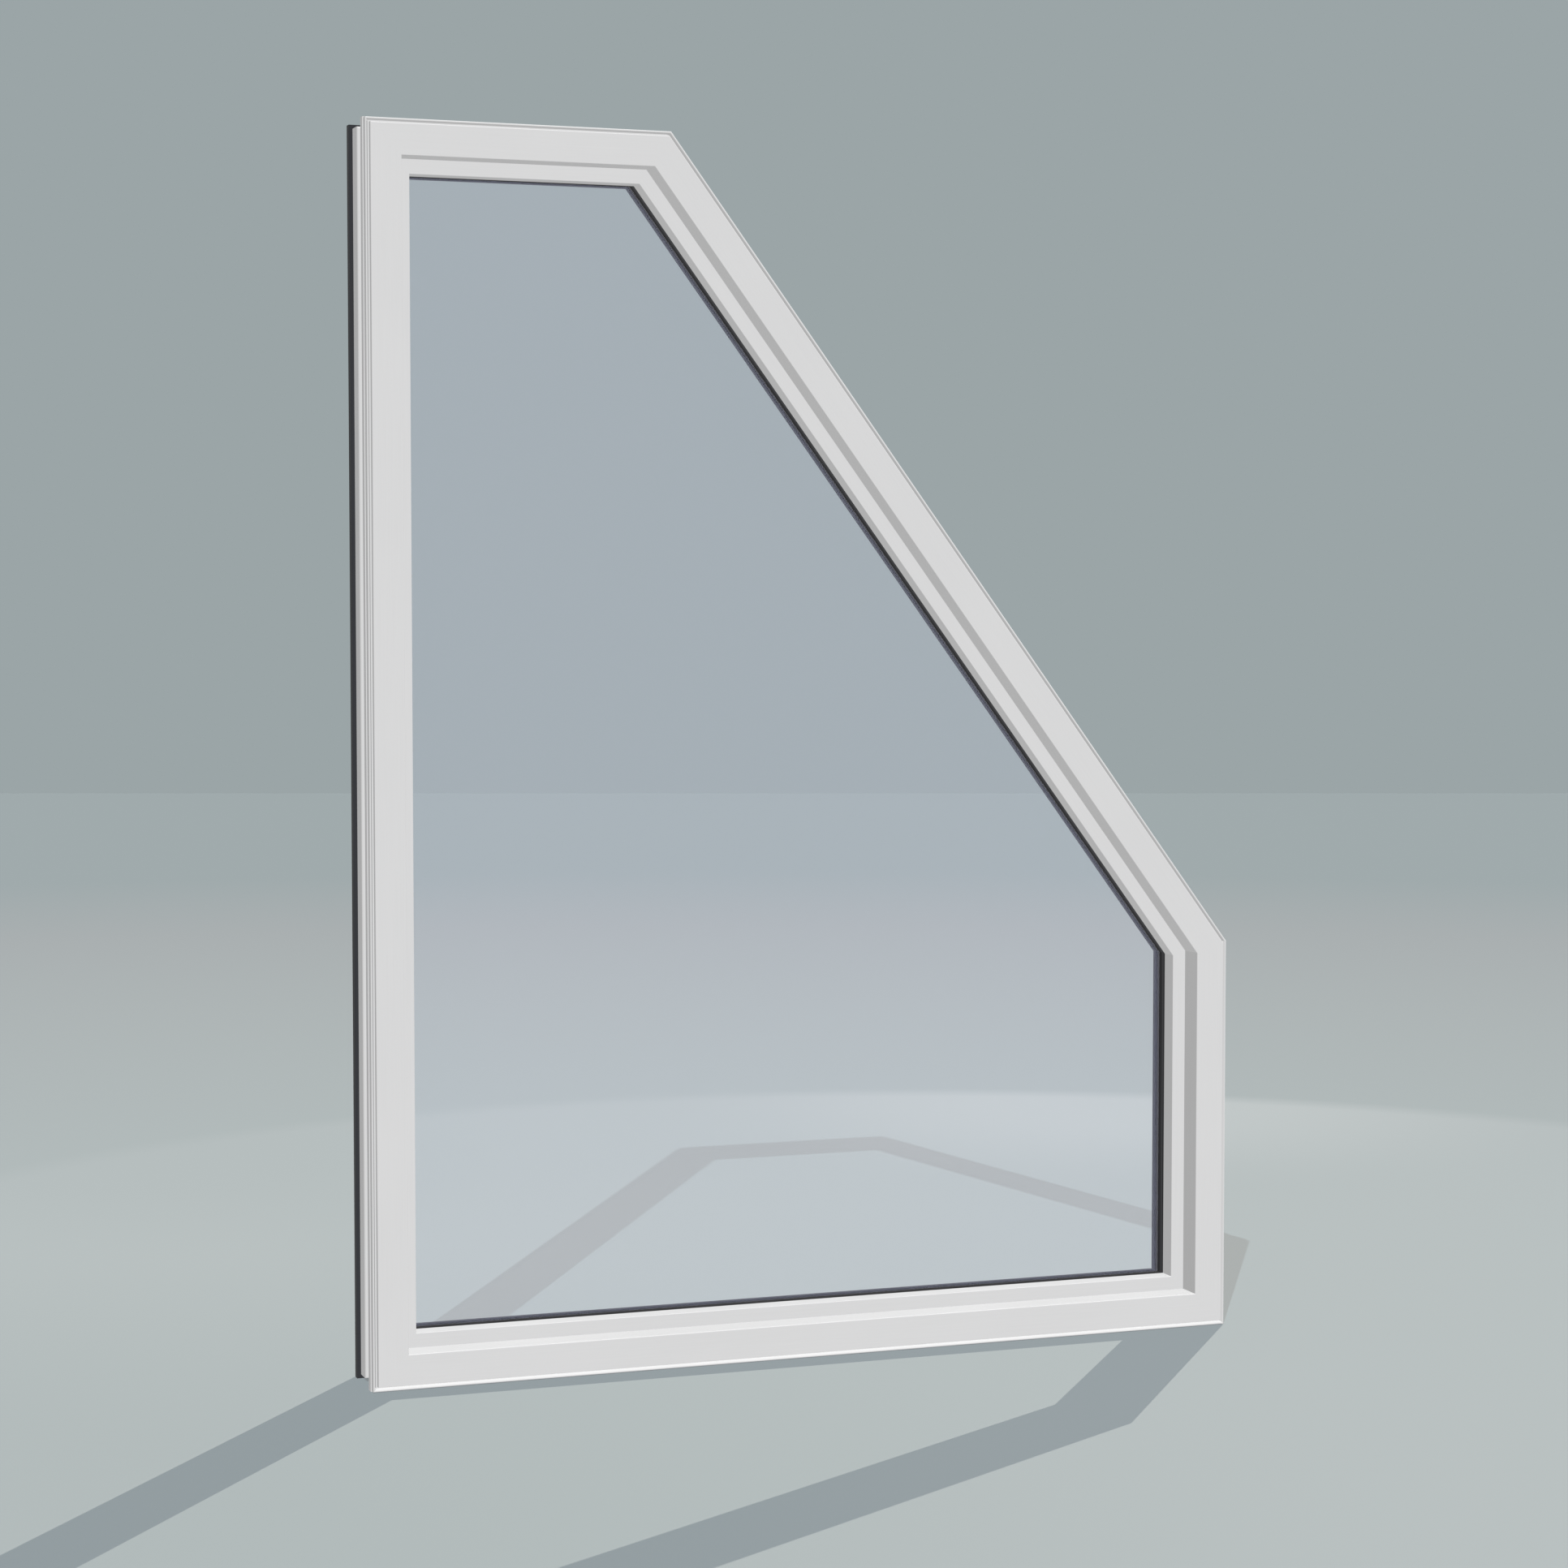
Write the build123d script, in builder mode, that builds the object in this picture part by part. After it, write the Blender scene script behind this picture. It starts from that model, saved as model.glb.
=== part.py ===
from build123d import *
import os

# A fixed window with five sides, seen from the room: X to the right, Y back to the
# weather side, Z up. The origin is under the middle of the overall size.
# All lengths are in millimetres. An inset is counted in from the window's outline
# and a depth is counted back from the front face of the frame.

# Outline of the whole window
width = 900.0
height = 1200.0
top_width = 300.0
right_height = 400.0

# Front of the frame profile and the trim groove beside it
face_inset = 5.4
face_width = 29.6
face_edge_radius = 0.8
ledge_depth = 5.8
ledge_width = 1.4
groove_width = 1.5
groove_depth = 13.0
lip_thickness = 1.6
lip_nose_depth = 2.2

# Rib, fixing channel and rear foot on the outside of the frame profile
rib_front_depth = 9.9
rib_thickness = 8.2
channel_width = 31.3
channel_inset = 9.0
foot_inset = 3.8
foot_edge_radius = 2.0

# Glazing rebate, from the room side to the weather side
reveal_depth = 27.8
bead_width = 13.9
bead_thickness = 19.0
bead_edge_radius = 0.6
liner_thickness = 11.8
inner_gasket_thickness = 3.0
pane_thickness = 3.0
cavity_thickness = 3.0
outer_gasket_thickness = 1.9
upstand_thickness = 3.0
seal_setback = 1.0

# Foot of the glazing bead and the groove that it snaps into
bead_foot_setback = 3.0
bead_foot_width = 3.0
bead_foot_length = 2.5
bead_foot_clearance = 0.15

# Sealed glass unit and its gaskets
glass_edge_clearance = 3.0
gasket_width = 6.0
gasket_edge_radius = 0.8
gasket_foot_setback = 2.0
gasket_foot_width = 2.0
gasket_foot_length = 2.5
gasket_foot_clearance = 0.1
spacer_setback = 0.5
spacer_width = 5.0
setting_block_length = 80.0
setting_block_from_corner = 150.0

# Metal cover on the weather side
cover_wall = 2.0
cover_leg = 1.7
cover_sight_setback = 0.4
cover_flange_depth = 9.5
cover_shoulder_thickness = 1.6
cover_edge_radius = 1.2

# Clip leg on the cover and the groove that it pushes into
clip_inset = 24.0
clip_thickness = 1.6
clip_length = 5.0
clip_clearance = 0.3

# Drains from the sill's rebate, down the back of the frame and out through the cover
drain_length = 28.0
drain_pocket_depth = 6.0
drain_slot_height = 5.0
drain_inset = 9.0
drain_from_corner = 260.0

# Insets that follow from the sizes above
rebate_inset = face_inset + face_width
sight_inset = rebate_inset + bead_width
ledge_inset = face_inset - ledge_width
lip_inner_inset = ledge_inset - groove_width
lip_outer_inset = lip_inner_inset - lip_thickness
glass_inset = rebate_inset + glass_edge_clearance
seal_inset = sight_inset - seal_setback
gasket_back_inset = seal_inset - gasket_width
gasket_foot_inset = seal_inset - gasket_foot_setback
spacer_sight_inset = seal_inset - spacer_setback
spacer_back_inset = spacer_sight_inset - spacer_width
cover_sight_inset = sight_inset - cover_sight_setback
upstand_inset = cover_sight_inset - cover_leg

# Depths that follow from the sizes above
rib_back_depth = rib_front_depth + rib_thickness
channel_back_depth = rib_back_depth + channel_width
bead_back_depth = reveal_depth + bead_thickness
liner_back_depth = bead_back_depth + liner_thickness
inner_pane_front = liner_back_depth + inner_gasket_thickness
inner_pane_back = inner_pane_front + pane_thickness
outer_pane_front = inner_pane_back + cavity_thickness
outer_pane_back = outer_pane_front + pane_thickness
upstand_front = outer_pane_back + outer_gasket_thickness
frame_depth = upstand_front + upstand_thickness
total_depth = frame_depth + cover_wall
cover_shoulder_depth = total_depth - cover_flange_depth
front_y = -total_depth / 2

# Corners of the outline and the names of the sides between them, clockwise from
# the bottom right corner as the room sees it
corner_points = [
    (width / 2, 0.0),
    (-width / 2, 0.0),
    (-width / 2, height),
    (-width / 2 + top_width, height),
    (width / 2, right_height),
]
side_names = ["sill", "left_jamb", "head", "raking_head", "right_jamb"]
corners = [Vector(x, front_y, z) for x, z in corner_points]
side_count = len(corners)
runs = [corners[(i + 1) % side_count] - corners[i] for i in range(side_count)]
directions = [run.normalized() for run in runs]
backward = Vector(0, 1, 0)

os.makedirs("parts", exist_ok=True)


def write(part, label):
    """Label one finished piece and write it to its own file."""
    part.label = label
    export_step(part, f"parts/{label}.step")


def section_plane(side):
    """Plane across the start of a side: x is the inset, y the depth, z the run."""
    along = directions[side]
    return Plane(origin=corners[side], x_dir=backward.cross(along), z_dir=along)


def mitre_plane(corner):
    """Plane that halves a corner of the outline and faces along the run."""
    along = directions[corner - 1] + directions[corner % side_count]
    return Plane(origin=corners[corner % side_count], x_dir=backward, z_dir=along)


def depth_plane(depth):
    """Plane parallel to the glass at a depth, with X and Z as its own x and y."""
    return Plane.XZ.offset(-(front_y + depth))


def corner_at(sketch, inset, depth):
    """The vertex of a section at an inset and a depth."""
    return sketch.vertices().sort_by_distance(Vector(inset, depth))[0]


def mitred_ring(profile, stem, sill_cuts=None):
    """Run a section round the outline as one mitred length on each side."""
    for side, side_name in enumerate(side_names):
        with BuildPart() as length:
            with BuildSketch(section_plane(side)):
                add(profile.sketch)
            extrude(amount=runs[side].length)
            split(bisect_by=mitre_plane(side), keep=Keep.TOP)
            split(bisect_by=mitre_plane(side + 1), keep=Keep.BOTTOM)
            if sill_cuts is not None and side_name == "sill":
                add(sill_cuts.part, mode=Mode.SUBTRACT)
        write(length.part, f"{stem}_{side_name}")


def window_face(inset):
    """The outline drawn in by an inset, as a flat face."""
    with BuildSketch() as face:
        with BuildLine():
            Polyline(*corner_points, close=True)
        make_face()
        offset(amount=-inset, kind=Kind.INTERSECTION)
    return face.sketch


def flat_layer(label, inset, front, thickness, hole_inset=None):
    """A sheet or ring parallel to the glass, between two depths."""
    with BuildPart() as layer:
        with BuildSketch(depth_plane(front)):
            add(window_face(inset))
            if hole_inset is not None:
                add(window_face(hole_inset), mode=Mode.SUBTRACT)
        extrude(amount=-thickness)
    write(layer.part, label)


# Frame profile: face, trim groove with its lip, rib, fixing channel, foot and rebate
groove_front = reveal_depth + bead_foot_setback
groove_back = groove_front + bead_foot_width
clip_front = frame_depth - clip_length
with BuildSketch() as frame_profile:
    with BuildLine():
        nose_radius = lip_thickness / 2
        nose_start = lip_nose_depth + nose_radius
        Polyline(
            (lip_inner_inset, nose_start),
            (lip_inner_inset, groove_depth),
            (ledge_inset, groove_depth),
            (ledge_inset, ledge_depth),
            (face_inset, ledge_depth),
            (face_inset, 0),
            (rebate_inset, 0),
            (rebate_inset, groove_front),
            (rebate_inset - bead_foot_length, groove_front),
            (rebate_inset - bead_foot_length, groove_back),
            (rebate_inset, groove_back),
            (rebate_inset, upstand_front),
            (upstand_inset, upstand_front),
            (upstand_inset, frame_depth),
            (clip_inset + clip_thickness + clip_clearance, frame_depth),
            (clip_inset + clip_thickness + clip_clearance, clip_front - clip_clearance),
            (clip_inset - clip_clearance, clip_front - clip_clearance),
            (clip_inset - clip_clearance, frame_depth),
            (foot_inset, frame_depth),
            (foot_inset, channel_back_depth),
            (channel_inset, channel_back_depth),
            (channel_inset, rib_back_depth),
            (0, rib_back_depth),
            (0, rib_front_depth),
            (lip_outer_inset, rib_front_depth),
            (lip_outer_inset, nose_start),
        )
        ThreePointArc(
            (lip_outer_inset, nose_start),
            (lip_outer_inset + nose_radius, lip_nose_depth),
            (lip_inner_inset, nose_start),
        )
    make_face()
    fillet(corner_at(frame_profile, face_inset, 0), radius=face_edge_radius)
    fillet(corner_at(frame_profile, rebate_inset, 0), radius=face_edge_radius)
    fillet(corner_at(frame_profile, foot_inset, channel_back_depth), radius=foot_edge_radius)

# Glazing bead: a bar in the rebate with a foot that snaps into the frame's groove
foot_front = groove_front + bead_foot_clearance
foot_back = groove_back - bead_foot_clearance
foot_tip_inset = rebate_inset - bead_foot_length + bead_foot_clearance
with BuildSketch() as bead_profile:
    with BuildLine():
        Polyline(
            (rebate_inset, reveal_depth),
            (sight_inset, reveal_depth),
            (sight_inset, bead_back_depth),
            (rebate_inset, bead_back_depth),
            (rebate_inset, foot_back),
            (foot_tip_inset, foot_back),
            (foot_tip_inset, foot_front),
            (rebate_inset, foot_front),
            close=True,
        )
    make_face()
    fillet(corner_at(bead_profile, sight_inset, reveal_depth), radius=bead_edge_radius)

# Liner behind the bead: a bar on the rebate's floor with a groove for the gasket's foot
slot_top = gasket_foot_inset + gasket_foot_clearance
slot_bottom = gasket_foot_inset - gasket_foot_width - gasket_foot_clearance
slot_front = liner_back_depth - gasket_foot_length - gasket_foot_clearance
with BuildSketch() as liner_profile:
    with BuildLine():
        Polyline(
            (rebate_inset, bead_back_depth),
            (seal_inset, bead_back_depth),
            (seal_inset, liner_back_depth),
            (slot_top, liner_back_depth),
            (slot_top, slot_front),
            (slot_bottom, slot_front),
            (slot_bottom, liner_back_depth),
            (rebate_inset, liner_back_depth),
            close=True,
        )
    make_face()

# Gaskets and spacer bar: the inner gasket has a foot, the others are plain bars
with BuildSketch() as inner_gasket_profile:
    with Locations((gasket_back_inset, liner_back_depth)):
        Rectangle(gasket_width, inner_gasket_thickness, align=(Align.MIN, Align.MIN))
    fillet(corner_at(inner_gasket_profile, seal_inset, liner_back_depth), radius=gasket_edge_radius)
    with Locations((gasket_foot_inset, liner_back_depth)):
        Rectangle(gasket_foot_width, gasket_foot_length, align=(Align.MAX, Align.MAX))
with BuildSketch() as outer_gasket_profile:
    with Locations((gasket_back_inset, outer_pane_back)):
        Rectangle(gasket_width, outer_gasket_thickness, align=(Align.MIN, Align.MIN))
with BuildSketch() as spacer_profile:
    with Locations((spacer_back_inset, inner_pane_back)):
        Rectangle(spacer_width, cavity_thickness, align=(Align.MIN, Align.MIN))

# Metal cover: a thin channel over the back of the frame with a shoulder round it
with BuildSketch() as cover_profile:
    with BuildLine():
        Polyline(
            (0, cover_shoulder_depth),
            (0, total_depth),
            (cover_sight_inset, total_depth),
            (cover_sight_inset, upstand_front),
            (upstand_inset, upstand_front),
            (upstand_inset, frame_depth),
            (clip_inset + clip_thickness, frame_depth),
            (clip_inset + clip_thickness, clip_front),
            (clip_inset, clip_front),
            (clip_inset, frame_depth),
            (cover_wall, frame_depth),
            (cover_wall, cover_shoulder_depth + cover_shoulder_thickness),
            (foot_inset, cover_shoulder_depth + cover_shoulder_thickness),
            (foot_inset, cover_shoulder_depth),
            close=True,
        )
    make_face()
    fillet(corner_at(cover_profile, 0, total_depth), radius=cover_edge_radius)
    fillet(corner_at(cover_profile, cover_sight_inset, total_depth), radius=cover_edge_radius)

# Drains in the sill: pockets from the rebate's floor behind the cover, past its clip
# leg, and slots with round ends through the cover's wall
drain_x = width / 2 - drain_from_corner
with BuildPart() as drain_pockets:
    with Locations(*[(x, front_y + frame_depth, drain_inset) for x in (-drain_x, drain_x)]):
        Box(
            drain_length,
            drain_pocket_depth,
            rebate_inset - drain_inset,
            align=(Align.CENTER, Align.MAX, Align.MIN),
        )
with BuildPart() as cover_drains:
    add(drain_pockets.part)
    with BuildSketch(depth_plane(total_depth)):
        with Locations(*[(x, drain_inset + drain_slot_height / 2) for x in (-drain_x, drain_x)]):
            SlotOverall(drain_length, drain_slot_height)
    extrude(amount=cover_wall)

# The mitred rings
mitred_ring(frame_profile, "frame", sill_cuts=drain_pockets)
mitred_ring(bead_profile, "bead")
mitred_ring(liner_profile, "liner")
mitred_ring(inner_gasket_profile, "inner_gasket")
mitred_ring(outer_gasket_profile, "outer_gasket")
mitred_ring(spacer_profile, "spacer")
mitred_ring(cover_profile, "cover", sill_cuts=cover_drains)

# The sealed glass unit
flat_layer("inner_pane", glass_inset, inner_pane_front, pane_thickness)
flat_layer("outer_pane", glass_inset, outer_pane_front, pane_thickness)
flat_layer("edge_seal", glass_inset, inner_pane_back, cavity_thickness, spacer_back_inset)

# Setting blocks that carry the glass unit on the sill's rebate
unit_thickness = outer_pane_back - inner_pane_front
block_x = width / 2 - setting_block_from_corner
with BuildPart() as setting_blocks:
    with Locations(*[(x, front_y + inner_pane_front, rebate_inset) for x in (-block_x, block_x)]):
        Box(
            setting_block_length,
            unit_thickness,
            glass_edge_clearance,
            align=(Align.CENTER, Align.MIN, Align.MIN),
        )
write(setting_blocks.part, "setting_blocks")
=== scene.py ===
import math

import bpy
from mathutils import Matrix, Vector


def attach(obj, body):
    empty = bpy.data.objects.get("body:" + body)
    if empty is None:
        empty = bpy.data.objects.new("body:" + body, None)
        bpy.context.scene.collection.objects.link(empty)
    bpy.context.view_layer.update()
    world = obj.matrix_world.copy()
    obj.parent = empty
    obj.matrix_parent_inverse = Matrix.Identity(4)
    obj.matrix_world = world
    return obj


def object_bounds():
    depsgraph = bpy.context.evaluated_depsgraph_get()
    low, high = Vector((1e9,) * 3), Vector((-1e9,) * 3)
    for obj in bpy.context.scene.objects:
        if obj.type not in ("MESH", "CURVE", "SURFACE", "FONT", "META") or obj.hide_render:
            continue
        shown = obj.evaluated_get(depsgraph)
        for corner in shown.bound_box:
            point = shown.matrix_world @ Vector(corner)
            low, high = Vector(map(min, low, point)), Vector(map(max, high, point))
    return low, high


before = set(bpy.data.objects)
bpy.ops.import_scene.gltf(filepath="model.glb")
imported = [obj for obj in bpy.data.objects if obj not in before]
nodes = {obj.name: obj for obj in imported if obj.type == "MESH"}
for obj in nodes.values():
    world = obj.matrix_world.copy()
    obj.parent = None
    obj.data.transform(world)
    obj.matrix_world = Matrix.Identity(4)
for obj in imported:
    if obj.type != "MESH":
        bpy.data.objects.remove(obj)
cad_low, cad_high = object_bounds()
front_y = cad_low.y

# Directions: from the room to the weather side, and up
OUTWARD = (0.0, 1.0, 0.0)
UPWARD = (0.0, 0.0, 1.0)

# The window's outline as the room sees it, from the sill's left end round to the head's left end
WIDTH = 0.9
HEIGHT = 1.2
TOP_WIDTH = 0.3
RIGHT_HEIGHT = 0.4
CORNERS = [
    (-WIDTH / 2, 0.0),
    (WIDTH / 2, 0.0),
    (WIDTH / 2, RIGHT_HEIGHT),
    (TOP_WIDTH - WIDTH / 2, HEIGHT),
    (-WIDTH / 2, HEIGHT),
]

# The sides, and the angle about Y that lays the X axis along each one
RUN_ANGLES = {
    "sill": 0.0,
    "left_jamb": math.radians(90),
    "head": 0.0,
    "raking_head": math.atan2(HEIGHT - RIGHT_HEIGHT, WIDTH - TOP_WIDTH),
    "right_jamb": math.radians(90),
}

# The slope inside the lip: how many corners it passes, and its section as inset and depth from the front
LIP_CORNERS = 3
LIP_SECTION = [
    (0.00245, 0.00235),
    (0.00270, 0.00240),
    (0.00400, 0.00370),
    (0.00412, 0.00400),
    (0.00412, 0.00590),
    (0.00245, 0.00750),
]

# The camera, placed by the photograph's lines
CAMERA_PLACE = Vector((-1.1496, front_y - 3.0916, 0.7502))
CAMERA_YAW = -19.801
CAMERA_PITCH = -3.124
FOCAL_PIXELS = 4141.0
IMAGE_PIXELS = 1932.0
SENSOR = 36.0
NEAREST_SEEN = 0.05
FARTHEST_SEEN = 200.0

# Lamps on the window, which cast no shadow: direction to the lamp, strength, whether gloss shows it
WINDOW_LAMPS = {
    "room": ((0.0, -1.0, 0.0), 1.03, False),
    "ceiling": ((0.0, 0.0, 1.0), 1.73, True),
    "floor_bounce": ((0.0, 0.0, -1.0), 0.39, False),
    "left": ((-1.0, 0.0, 0.0), 0.13, False),
    "right": ((1.0, 0.0, 0.0), 0.45, False),
    "outside": ((0.0, 1.0, 0.0), 0.73, False),
    "front_high": ((-0.386, -0.632, 0.671), 0.10, True),
    "front_edge": ((0.0, -0.707, 0.707), 0.25, True),
    "key_side": ((0.454, 0.582, 0.677), 0.12, True),
}

# Lamps on the floor, which cast the window's shadows: direction, strength, colour, softness in degrees
FLOOR_LAMPS = {
    "floor_key": ((0.682, 0.870, 1.0), 1.63, (1.0, 0.93, 0.794), 0.12),
    "floor_front": ((-0.597, -0.993, 1.0), 0.87, (0.80, 0.98, 1.0), 0.25),
}

# A lamp that fills the floor's shadows
FILL_STRENGTH = 0.15

# What the eye sees behind the floor, and the even light on every surface
BACKDROP = (0.328, 0.376, 0.386)
AMBIENT = (0.45, 0.45, 0.45)

# What glass and gloss mirror: the room, for a ray that turns back to it by these shares, else outdoors
MIRRORED_ROOM = (0.87, 0.92, 1.22)
MIRRORED_OUTSIDE = (0.36, 0.365, 0.37)
ROOM_BEGINS = -0.3
ROOM_FULL = -0.8

# A count of bounces is none below this
UNDER_ONE = 0.5

# Painted light: the floor's colour falls off by distance from the middle of the window's foot
FLOOR_TONES = [
    (0.8, (0.455, 0.500, 0.523)),
    (1.4, (0.450, 0.495, 0.520)),
    (3.0, (0.427, 0.461, 0.486)),
    (4.4, (0.403, 0.430, 0.458)),
    (5.9, (0.356, 0.404, 0.433)),
]
FLOOR_RANGE = 8.0
FLOOR_ROUGHNESS = 0.9

# A painted pool of light: a round patch of the floor painted lighter, and the width of half its soft edge
PAINTED_POOL_COLOUR = (0.640, 0.665, 0.695)
LIT_PLACE = (0.31, 0.27, 0.0)
LIT_RADIUS = 1.41
LIT_EDGE = 0.04

# How much the painted pool of light is raised: centre, a near and a far distance, and the amount at each
LIT_SPOTS = {
    "crest": ((1.0, 1.4, 0.0), 0.15, 0.75, 0.30, 0.0),
    "away_from_corner": ((-1.1, -0.5, 0.0), 0.4, 1.5, 0.0, 0.20),
    "dull_left": ((-0.45, 1.35, 0.0), 0.1, 0.75, -0.08, 0.0),
}

# The floor's far edge and its reach to the other sides, from the camera's foot
FLOOR_EDGE = 13.08
FLOOR_REACH = 30.0

# Noise textures: the span in which most of their values lie, and how finely they are broken up
NOISE_LOW = 0.3
NOISE_HIGH = 0.7
SMOOTH = 1.0
BROKEN = 2.0
FINE = 3.0

# Extruded plastics: colour, shade, least and most roughness
PLASTICS = {
    "white_profile": ((0.81, 0.81, 0.81), (0.785, 0.785, 0.785), (0.34, 0.42)),
    "white_bead": ((0.81, 0.81, 0.81), (0.785, 0.785, 0.785), (0.30, 0.38)),
    "black_liner": ((0.039, 0.039, 0.041), (0.031, 0.031, 0.033), (0.48, 0.60)),
    "spacer_bar": ((0.088, 0.086, 0.084), (0.072, 0.070, 0.068), (0.50, 0.62)),
}
PLASTIC_SPECULAR = 0.15
LINE_STRETCH = 60.0
LINE_SCALE = 700.0
LINE_DEPTH = 0.00002
MOTTLE_SCALE = 9.0
PEEL_SCALE = 1300.0
PEEL_DEPTH = 0.00004

# Painted shade: the sill's liner and spacer face the ceiling lamp, so their colour is darkened to this
# share
SILL_PAINTED_SHADE_SHARE = 0.35

# A painted highlight, a paler line along the liner: its depth in the window, and half its width without
# and with its soft edges
HIGHLIGHT_LINE_DEPTH = front_y + 0.0533
HIGHLIGHT_LINE_HALF = 0.0008
HIGHLIGHT_LINE_SOFT_HALF = 0.0010
HIGHLIGHT_LINE_COLOUR = (0.090, 0.090, 0.094)

# Powder coat on the metal cover
COAT_DARK = (0.030, 0.031, 0.032)
COAT_LIGHT = (0.037, 0.038, 0.039)
COAT_ROUGHNESS = (0.40, 0.52)
COAT_SPECULAR = 0.2
COAT_STRETCH = 20.0
CLOUD_SCALE = 30.0
SPECKLE_SCALE = 2600.0
SPECKLE_LOW = 0.35
SPECKLE_HIGH = 0.65
SPECKLE_DEPTH = 0.00002
COAT_PEEL_SCALE = 700.0
COAT_PEEL_DEPTH = 0.00008

# Moulded rubber and plastic: dark, light, least and most roughness
MOULDED = {
    "black_rubber": ((0.028, 0.028, 0.029), (0.036, 0.036, 0.037), (0.62, 0.78)),
    "grey_rubber": ((0.007, 0.007, 0.007), (0.011, 0.011, 0.011), (0.62, 0.78)),
    "edge_sealant": ((0.018, 0.018, 0.020), (0.028, 0.028, 0.030), (0.70, 0.85)),
    "block_plastic": ((0.06, 0.13, 0.30), (0.08, 0.16, 0.34), (0.45, 0.55)),
}
MOULDED_SPECULAR = 0.1
MOULDED_CLOUD_SCALE = 60.0
GRAIN_SCALE = 1500.0
GRAIN_DEPTH = 0.00006

# Glass with a coating that mirrors less, which a low index of refraction stands for
GLASS_INDEX = 1.38
GLASS_TINT = (0.996, 0.999, 0.998)
GLASS_CLEAR = (0.998, 1.0, 0.999)
GLASS_LAMP_TINT = (0.99, 0.994, 0.993, 1)
WAVE_SCALE = 2.5
WAVE_DEPTH = 0.00004


def node_tree(name):
    """A new material, its node tree and its Principled shader."""
    material = bpy.data.materials.new(name)
    material.use_nodes = True
    tree = material.node_tree
    shader = next(n for n in tree.nodes if n.type == "BSDF_PRINCIPLED")
    return material, tree, shader


def add_node(tree, kind, **settings):
    """A new node with its own settings."""
    node = tree.nodes.new(kind)
    for name, value in settings.items():
        setattr(node, name, value)
    return node


def object_place(tree):
    """A surface point's own place, in metres."""
    return add_node(tree, "ShaderNodeTexCoord").outputs["Object"]


def noise(tree, vector, scale, detail):
    """A noise texture's factor from 0 to 1."""
    texture = add_node(tree, "ShaderNodeTexNoise")
    texture.inputs["Scale"].default_value = scale
    texture.inputs["Detail"].default_value = detail
    tree.links.new(vector, texture.inputs["Vector"])
    return texture.outputs["Fac"]


def map_range(tree, value, low, high, to_low=0.0, to_high=1.0, ease="LINEAR"):
    """A value, spread from one range to another."""
    node = add_node(tree, "ShaderNodeMapRange", interpolation_type=ease)
    for name, number in (("From Min", low), ("From Max", high), ("To Min", to_low), ("To Max", to_high)):
        node.inputs[name].default_value = number
    tree.links.new(value, node.inputs["Value"])
    return node.outputs["Result"]


def calculate(tree, operation, first, second):
    """The result of an operation on two values, where the second may be a plain number."""
    node = add_node(tree, "ShaderNodeMath", operation=operation)
    tree.links.new(first, node.inputs[0])
    if isinstance(second, float):
        node.inputs[1].default_value = second
    else:
        tree.links.new(second, node.inputs[1])
    return node.outputs["Value"]


def blend(tree, factor, first, second):
    """A colour between two by a factor, where each is a plain colour or another node's."""
    mix = add_node(tree, "ShaderNodeMix", data_type="RGBA")
    sockets = [socket for socket in mix.inputs if socket.type == "RGBA"]
    for socket, colour in zip(sockets, (first, second)):
        if isinstance(colour, tuple):
            socket.default_value = (*colour, 1)
        else:
            tree.links.new(colour, socket)
    tree.links.new(factor, mix.inputs["Factor"])
    return next(socket for socket in mix.outputs if socket.type == "RGBA")


def near_to(tree, place, centre, near, far, at_near, at_far, ease="LINEAR"):
    """A value that goes by the distance from a point."""
    distance = add_node(tree, "ShaderNodeVectorMath", operation="DISTANCE")
    tree.links.new(place, distance.inputs[0])
    distance.inputs[1].default_value = centre
    return map_range(tree, distance.outputs["Value"], near, far, at_near, at_far, ease)


def measured(tree, vector, direction):
    """How far a vector reaches in a direction."""
    node = add_node(tree, "ShaderNodeVectorMath", operation="DOT_PRODUCT")
    tree.links.new(vector, node.inputs[0])
    node.inputs[1].default_value = direction
    return node.outputs["Value"]


def bump(tree, height, distance, under=None):
    """A bump normal of a height, on top of another bump."""
    node = add_node(tree, "ShaderNodeBump")
    node.inputs["Strength"].default_value = 1.0
    node.inputs["Distance"].default_value = distance
    tree.links.new(height, node.inputs["Height"])
    if under is not None:
        tree.links.new(under, node.inputs["Normal"])
    return node.outputs["Normal"]


def along_run(tree, place, side, stretch):
    """A place turned to a side's run and squeezed along it."""
    turn = add_node(tree, "ShaderNodeMapping", vector_type="TEXTURE")
    turn.inputs["Rotation"].default_value = (0, RUN_ANGLES[side], 0)
    tree.links.new(place, turn.inputs["Vector"])
    squeeze = add_node(tree, "ShaderNodeMapping")
    squeeze.inputs["Scale"].default_value = (1 / stretch, 1, 1)
    tree.links.new(turn.outputs["Vector"], squeeze.inputs["Vector"])
    return squeeze.outputs["Vector"]


def painted_highlight_line(tree, place, colour):
    """A colour with a painted highlight line along the liner."""
    depth = measured(tree, place, OUTWARD)
    before = map_range(tree, depth, HIGHLIGHT_LINE_DEPTH - HIGHLIGHT_LINE_SOFT_HALF, HIGHLIGHT_LINE_DEPTH - HIGHLIGHT_LINE_HALF)
    after = map_range(tree, depth, HIGHLIGHT_LINE_DEPTH + HIGHLIGHT_LINE_HALF, HIGHLIGHT_LINE_DEPTH + HIGHLIGHT_LINE_SOFT_HALF, 1.0, 0.0)
    return blend(tree, calculate(tree, "MULTIPLY", before, after), colour, HIGHLIGHT_LINE_COLOUR)


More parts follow.
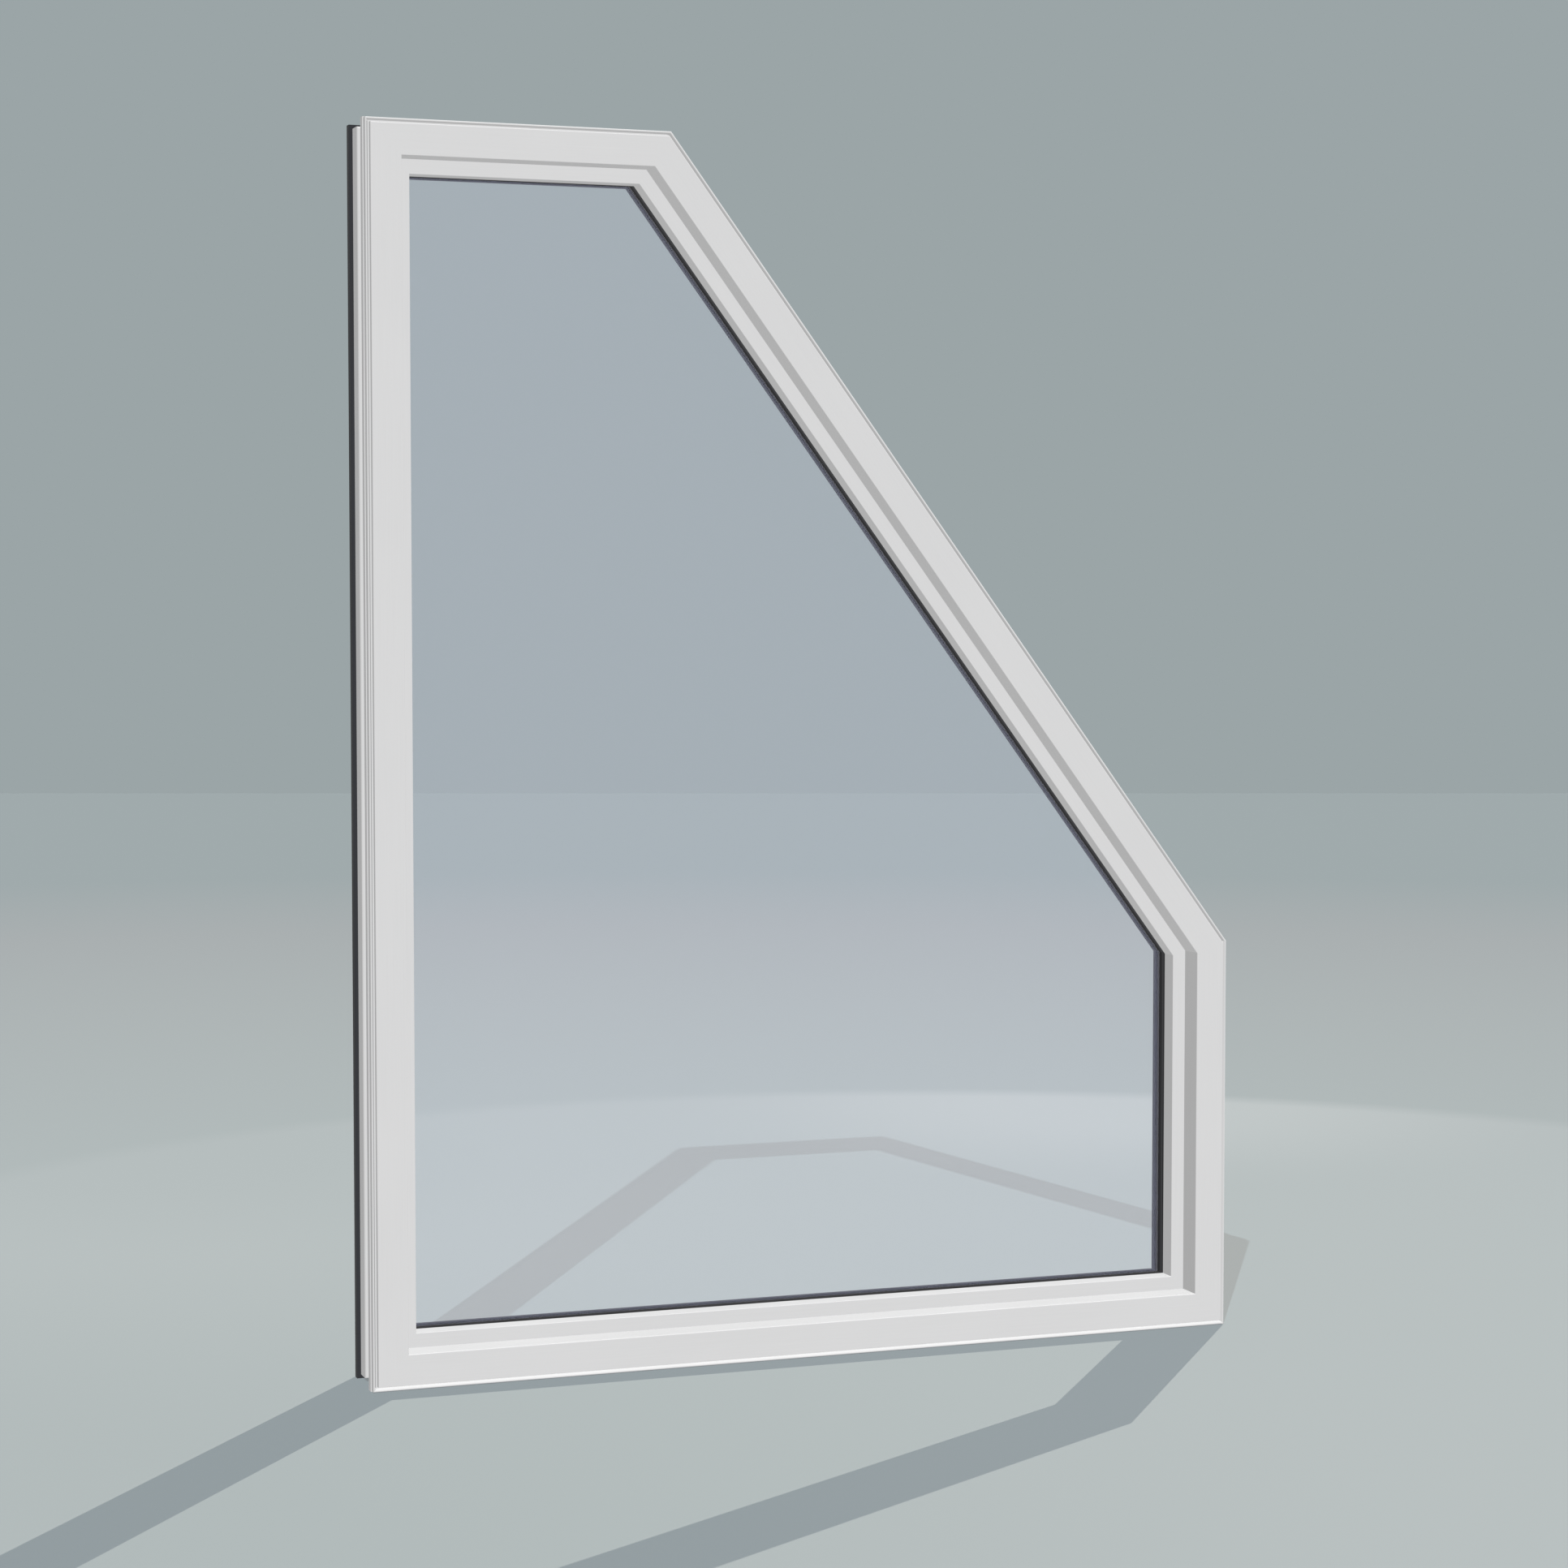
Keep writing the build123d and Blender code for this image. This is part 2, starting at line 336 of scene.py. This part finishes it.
def extruded_plastic(name, side, painted_shade_share=1.0):
    """Extruded plastic: faint draw lines along the run, a soft mottle and a fine peel, with its colour
    darkened by a share as painted shade.
    """
    colour, shade, roughness = PLASTICS[name]
    material, tree, shader = node_tree(f"{name}_{side}")
    place = object_place(tree)
    lines = noise(tree, along_run(tree, place, side, LINE_STRETCH), LINE_SCALE, BROKEN)
    mottle = noise(tree, place, MOTTLE_SCALE, BROKEN)
    peel = noise(tree, place, PEEL_SCALE, SMOOTH)
    factor = map_range(tree, calculate(tree, "ADD", lines, mottle), 2 * NOISE_LOW, 2 * NOISE_HIGH)
    # Painted shade: the colour is darkened by the given share
    tint = blend(tree, factor, tuple(v * painted_shade_share for v in shade), tuple(v * painted_shade_share for v in colour))
    # A painted highlight line on every liner but the sill's
    if name == "black_liner" and side != "sill":
        tint = painted_highlight_line(tree, place, tint)
    tree.links.new(tint, shader.inputs["Base Color"])
    tree.links.new(map_range(tree, mottle, NOISE_LOW, NOISE_HIGH, *roughness), shader.inputs["Roughness"])
    shader.inputs["Specular IOR Level"].default_value = PLASTIC_SPECULAR
    drawn = bump(tree, lines, LINE_DEPTH)
    tree.links.new(bump(tree, peel, PEEL_DEPTH, under=drawn), shader.inputs["Normal"])
    return material


def powder_coat(side):
    """Dark powder coat on metal: a fine speckle and an orange peel."""
    material, tree, shader = node_tree(f"powder_coat_{side}")
    place = object_place(tree)
    speckle = noise(tree, place, SPECKLE_SCALE, BROKEN)
    peel = noise(tree, place, COAT_PEEL_SCALE, BROKEN)
    cloud = noise(tree, along_run(tree, place, side, COAT_STRETCH), CLOUD_SCALE, BROKEN)
    factor = map_range(tree, speckle, SPECKLE_LOW, SPECKLE_HIGH)
    tree.links.new(blend(tree, factor, COAT_DARK, COAT_LIGHT), shader.inputs["Base Color"])
    rough = map_range(tree, cloud, NOISE_LOW, NOISE_HIGH, *COAT_ROUGHNESS)
    tree.links.new(rough, shader.inputs["Roughness"])
    shader.inputs["Specular IOR Level"].default_value = COAT_SPECULAR
    fine = bump(tree, speckle, SPECKLE_DEPTH)
    tree.links.new(bump(tree, peel, COAT_PEEL_DEPTH, under=fine), shader.inputs["Normal"])
    return material


def moulded(name):
    """Matt moulded rubber or plastic with a fine grain."""
    dark, light, roughness = MOULDED[name]
    material, tree, shader = node_tree(name)
    place = object_place(tree)
    grain = noise(tree, place, GRAIN_SCALE, FINE)
    cloud = noise(tree, place, MOULDED_CLOUD_SCALE, BROKEN)
    factor = map_range(tree, cloud, NOISE_LOW, NOISE_HIGH)
    tree.links.new(blend(tree, factor, dark, light), shader.inputs["Base Color"])
    tree.links.new(map_range(tree, grain, NOISE_LOW, NOISE_HIGH, *roughness), shader.inputs["Roughness"])
    shader.inputs["Specular IOR Level"].default_value = MOULDED_SPECULAR
    tree.links.new(bump(tree, grain, GRAIN_DEPTH), shader.inputs["Normal"])
    return material


def clear_glass():
    """Clear glass that lets the lamps through, with the faintest roller wave."""
    material, tree, shader = node_tree("clear_glass")
    wave = noise(tree, object_place(tree), WAVE_SCALE, SMOOTH)
    shader.inputs["Transmission Weight"].default_value = 1.0
    shader.inputs["Roughness"].default_value = 0.0
    shader.inputs["IOR"].default_value = GLASS_INDEX
    tree.links.new(blend(tree, wave, GLASS_TINT, GLASS_CLEAR), shader.inputs["Base Color"])
    tree.links.new(bump(tree, wave, WAVE_DEPTH), shader.inputs["Normal"])
    lamp_side = add_node(tree, "ShaderNodeBsdfTransparent")
    lamp_side.inputs["Color"].default_value = GLASS_LAMP_TINT
    rays = add_node(tree, "ShaderNodeLightPath")
    mix = add_node(tree, "ShaderNodeMixShader")
    output = next(n for n in tree.nodes if n.type == "OUTPUT_MATERIAL")
    tree.links.new(rays.outputs["Is Shadow Ray"], mix.inputs["Fac"])
    tree.links.new(shader.outputs["BSDF"], mix.inputs[1])
    tree.links.new(lamp_side.outputs["BSDF"], mix.inputs[2])
    tree.links.new(mix.outputs["Shader"], output.inputs["Surface"])
    return material


def dress(node, material):
    """Give a CAD node a better material in every slot."""
    mesh = nodes[node].data
    if not mesh.materials:
        mesh.materials.append(material)
    for index in range(len(mesh.materials)):
        mesh.materials[index] = material


def dress_window():
    """Give every CAD node its material, and return the frame's white by side."""
    whites = {}
    black_rubber = moulded("black_rubber")
    grey_rubber = moulded("grey_rubber")
    for side in RUN_ANGLES:
        # Painted shade on the sill's liner and spacer, which face the ceiling lamp
        painted_shade_share = SILL_PAINTED_SHADE_SHARE if side == "sill" else 1.0
        whites[side] = extruded_plastic("white_profile", side)
        dress(f"frame_{side}", whites[side])
        dress(f"bead_{side}", extruded_plastic("white_bead", side))
        dress(f"liner_{side}", extruded_plastic("black_liner", side, painted_shade_share))
        dress(f"spacer_{side}", extruded_plastic("spacer_bar", side, painted_shade_share))
        dress(f"inner_gasket_{side}", black_rubber)
        dress(f"outer_gasket_{side}", grey_rubber)
        dress(f"cover_{side}", powder_coat(side))
    glass = clear_glass()
    dress("inner_pane", glass)
    dress("outer_pane", glass)
    dress("edge_seal", moulded("edge_sealant"))
    dress("setting_blocks", moulded("block_plastic"))
    return whites


def inset_corners(inset):
    """The window's corners moved in from every side."""
    count = len(CORNERS)
    points = [Vector(corner) for corner in CORNERS]
    runs = [(points[(i + 1) % count] - points[i]).normalized() for i in range(count)]
    moved = []
    for i in range(count):
        before, after = runs[i - 1], runs[i]
        inward = Vector((-before.y - after.y, before.x + after.x)).normalized()
        moved.append(points[i] + inward * inset / inward.dot(Vector((-after.y, after.x))))
    return moved


def make_lip_slope(whites):
    """The pale slope inside the lip: a closed strip along the sill and up the right jamb."""
    loops = [
        [(corner.x, front_y + depth, corner.y) for corner in inset_corners(inset)[:LIP_CORNERS]]
        for inset, depth in LIP_SECTION
    ]
    points = [loop[k] for k in range(LIP_CORNERS) for loop in loops]
    steps = len(LIP_SECTION)
    first_end = tuple(range(steps))
    last_end = tuple(range(len(points) - 1, len(points) - 1 - steps, -1))
    faces = [first_end, last_end]
    for start in range(0, len(points) - steps, steps):
        for step in range(steps):
            here = start + step
            after = start + (step + 1) % steps
            faces.append((after, here, here + steps, after + steps))
    mesh = bpy.data.meshes.new("lip_slope")
    mesh.from_pydata(points, [], faces)
    mesh.materials.append(whites["sill"])
    mesh.materials.append(whites["right_jamb"])
    for face in mesh.polygons[-steps:]:
        face.material_index = 1
    slope = bpy.data.objects.new("lip_slope", mesh)
    bpy.context.scene.collection.objects.link(slope)
    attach(slope, "root")
    return slope


def make_camera():
    """The photograph's view: its place, direction and focal length."""
    data = bpy.data.cameras.new("camera")
    data.sensor_width = SENSOR
    data.lens = FOCAL_PIXELS / IMAGE_PIXELS * SENSOR
    data.clip_start = NEAREST_SEEN
    data.clip_end = FARTHEST_SEEN
    camera = bpy.data.objects.new("camera", data)
    camera.location = CAMERA_PLACE
    camera.rotation_euler = (math.radians(90 + CAMERA_PITCH), 0, math.radians(CAMERA_YAW))
    bpy.context.scene.collection.objects.link(camera)
    bpy.context.scene.camera = camera


def make_lamp(name, direction, strength, colour=(1.0, 1.0, 1.0), softness=0.0, casts=True):
    """A far lamp that shines from a direction."""
    data = bpy.data.lights.new(name, "SUN")
    data.energy = strength
    data.color = colour
    data.angle = math.radians(softness)
    data.use_shadow = casts
    lamp = bpy.data.objects.new(name, data)
    lamp.rotation_euler = Vector(direction).to_track_quat("Z", "Y").to_euler()
    bpy.context.scene.collection.objects.link(lamp)
    return lamp


def shine_on(lamp, pieces):
    """Keep a lamp's light on the given pieces."""
    group = bpy.data.collections.new(f"{lamp.name}_on")
    for piece in pieces:
        group.objects.link(piece)
    lamp.light_linking.receiver_collection = group


def pale_floor():
    """A matt floor with painted light: its tone falls off by distance, with a painted pool of light."""
    material, tree, shader = node_tree("pale_floor")
    place = object_place(tree)
    tone = add_node(tree, "ShaderNodeValToRGB")
    stops = tone.color_ramp.elements
    stops[0].position = FLOOR_TONES[0][0] / FLOOR_RANGE
    stops[1].position = FLOOR_TONES[-1][0] / FLOOR_RANGE
    for distance, _ in FLOOR_TONES[1:-1]:
        stops.new(distance / FLOOR_RANGE)
    for stop, (_, colour) in zip(stops, FLOOR_TONES):
        stop.color = (*colour, 1)
    # Painted light: the floor's tone falls off with distance
    tree.links.new(near_to(tree, place, (0, 0, 0), 0.0, FLOOR_RANGE, 0.0, 1.0), tone.inputs["Fac"])
    # A painted pool of light, raised more in some spots and less in one
    patch = near_to(tree, place, LIT_PLACE, LIT_RADIUS - LIT_EDGE, LIT_RADIUS + LIT_EDGE, 1.0, 0.0)
    spots = [near_to(tree, place, *spot, "SMOOTHSTEP") for spot in LIT_SPOTS.values()]
    raised = spots[0]
    for spot in spots[1:]:
        raised = calculate(tree, "ADD", raised, spot)
    painted_pool = calculate(tree, "MULTIPLY", patch, raised)
    tree.links.new(blend(tree, painted_pool, tone.outputs["Color"], PAINTED_POOL_COLOUR), shader.inputs["Base Color"])
    shader.inputs["Roughness"].default_value = FLOOR_ROUGHNESS
    shader.inputs["Specular IOR Level"].default_value = 0.0
    return material


def make_floor():
    """A pale floor that ends far behind the window, square to the view."""
    yaw = math.radians(CAMERA_YAW)
    ahead = Vector((-math.sin(yaw), math.cos(yaw), 0))
    across = Vector((ahead.y, -ahead.x, 0))
    foot = Vector((CAMERA_PLACE.x, CAMERA_PLACE.y, 0))
    corners = [
        foot + ahead * reach + across * aside
        for reach, aside in (
            (-FLOOR_REACH, -FLOOR_REACH),
            (-FLOOR_REACH, FLOOR_REACH),
            (FLOOR_EDGE, FLOOR_REACH),
            (FLOOR_EDGE, -FLOOR_REACH),
        )
    ]
    mesh = bpy.data.meshes.new("floor")
    mesh.from_pydata(corners, [], [(0, 1, 2, 3)])
    mesh.materials.append(pale_floor())
    floor = bpy.data.objects.new("floor", mesh)
    bpy.context.scene.collection.objects.link(floor)
    floor.visible_diffuse = False
    floor.visible_glossy = False
    return floor


def make_world():
    """A plain backdrop for the eye, a pale room for mirrors and even light for surfaces."""
    world = bpy.data.worlds.new("room")
    world.use_nodes = True
    tree = world.node_tree
    tree.nodes.clear()
    rays = add_node(tree, "ShaderNodeLightPath").outputs
    direction = add_node(tree, "ShaderNodeTexCoord").outputs["Generated"]
    to_room = map_range(tree, measured(tree, direction, OUTWARD), ROOM_BEGINS, ROOM_FULL)
    first_hand = calculate(tree, "LESS_THAN", rays["Diffuse Depth"], UNDER_ONE)
    direct = calculate(tree, "MAXIMUM", rays["Is Camera Ray"], rays["Is Transmission Ray"])
    eye = calculate(tree, "MULTIPLY", first_hand, direct)
    mirror = calculate(tree, "MULTIPLY", first_hand, rays["Is Glossy Ray"])
    even, seen, mirrored = [add_node(tree, "ShaderNodeBackground") for _ in range(3)]
    even.inputs["Color"].default_value = (*AMBIENT, 1)
    seen.inputs["Color"].default_value = (*BACKDROP, 1)
    tree.links.new(blend(tree, to_room, MIRRORED_OUTSIDE, MIRRORED_ROOM), mirrored.inputs["Color"])
    shader = even.outputs["Background"]
    for factor, background in ((mirror, mirrored), (eye, seen)):
        mix = add_node(tree, "ShaderNodeMixShader")
        tree.links.new(factor, mix.inputs["Fac"])
        tree.links.new(shader, mix.inputs[1])
        tree.links.new(background.outputs["Background"], mix.inputs[2])
        shader = mix.outputs["Shader"]
    output = add_node(tree, "ShaderNodeOutputWorld")
    tree.links.new(shader, output.inputs["Surface"])
    bpy.context.scene.world = world


make_camera()
floor = make_floor()
window = list(nodes.values()) + [make_lip_slope(dress_window())]
for piece in window:
    piece.visible_diffuse = False
    piece.visible_glossy = False
for name, (direction, strength, shows) in WINDOW_LAMPS.items():
    lamp = make_lamp(name, direction, strength, casts=False)
    lamp.visible_glossy = shows
    shine_on(lamp, window)
for name, (direction, strength, colour, softness) in FLOOR_LAMPS.items():
    shine_on(make_lamp(name, direction, strength, colour, softness), [floor])
shine_on(make_lamp("floor_fill", UPWARD, FILL_STRENGTH, casts=False), [floor])
make_world()
bpy.context.scene.view_settings.view_transform = "Standard"
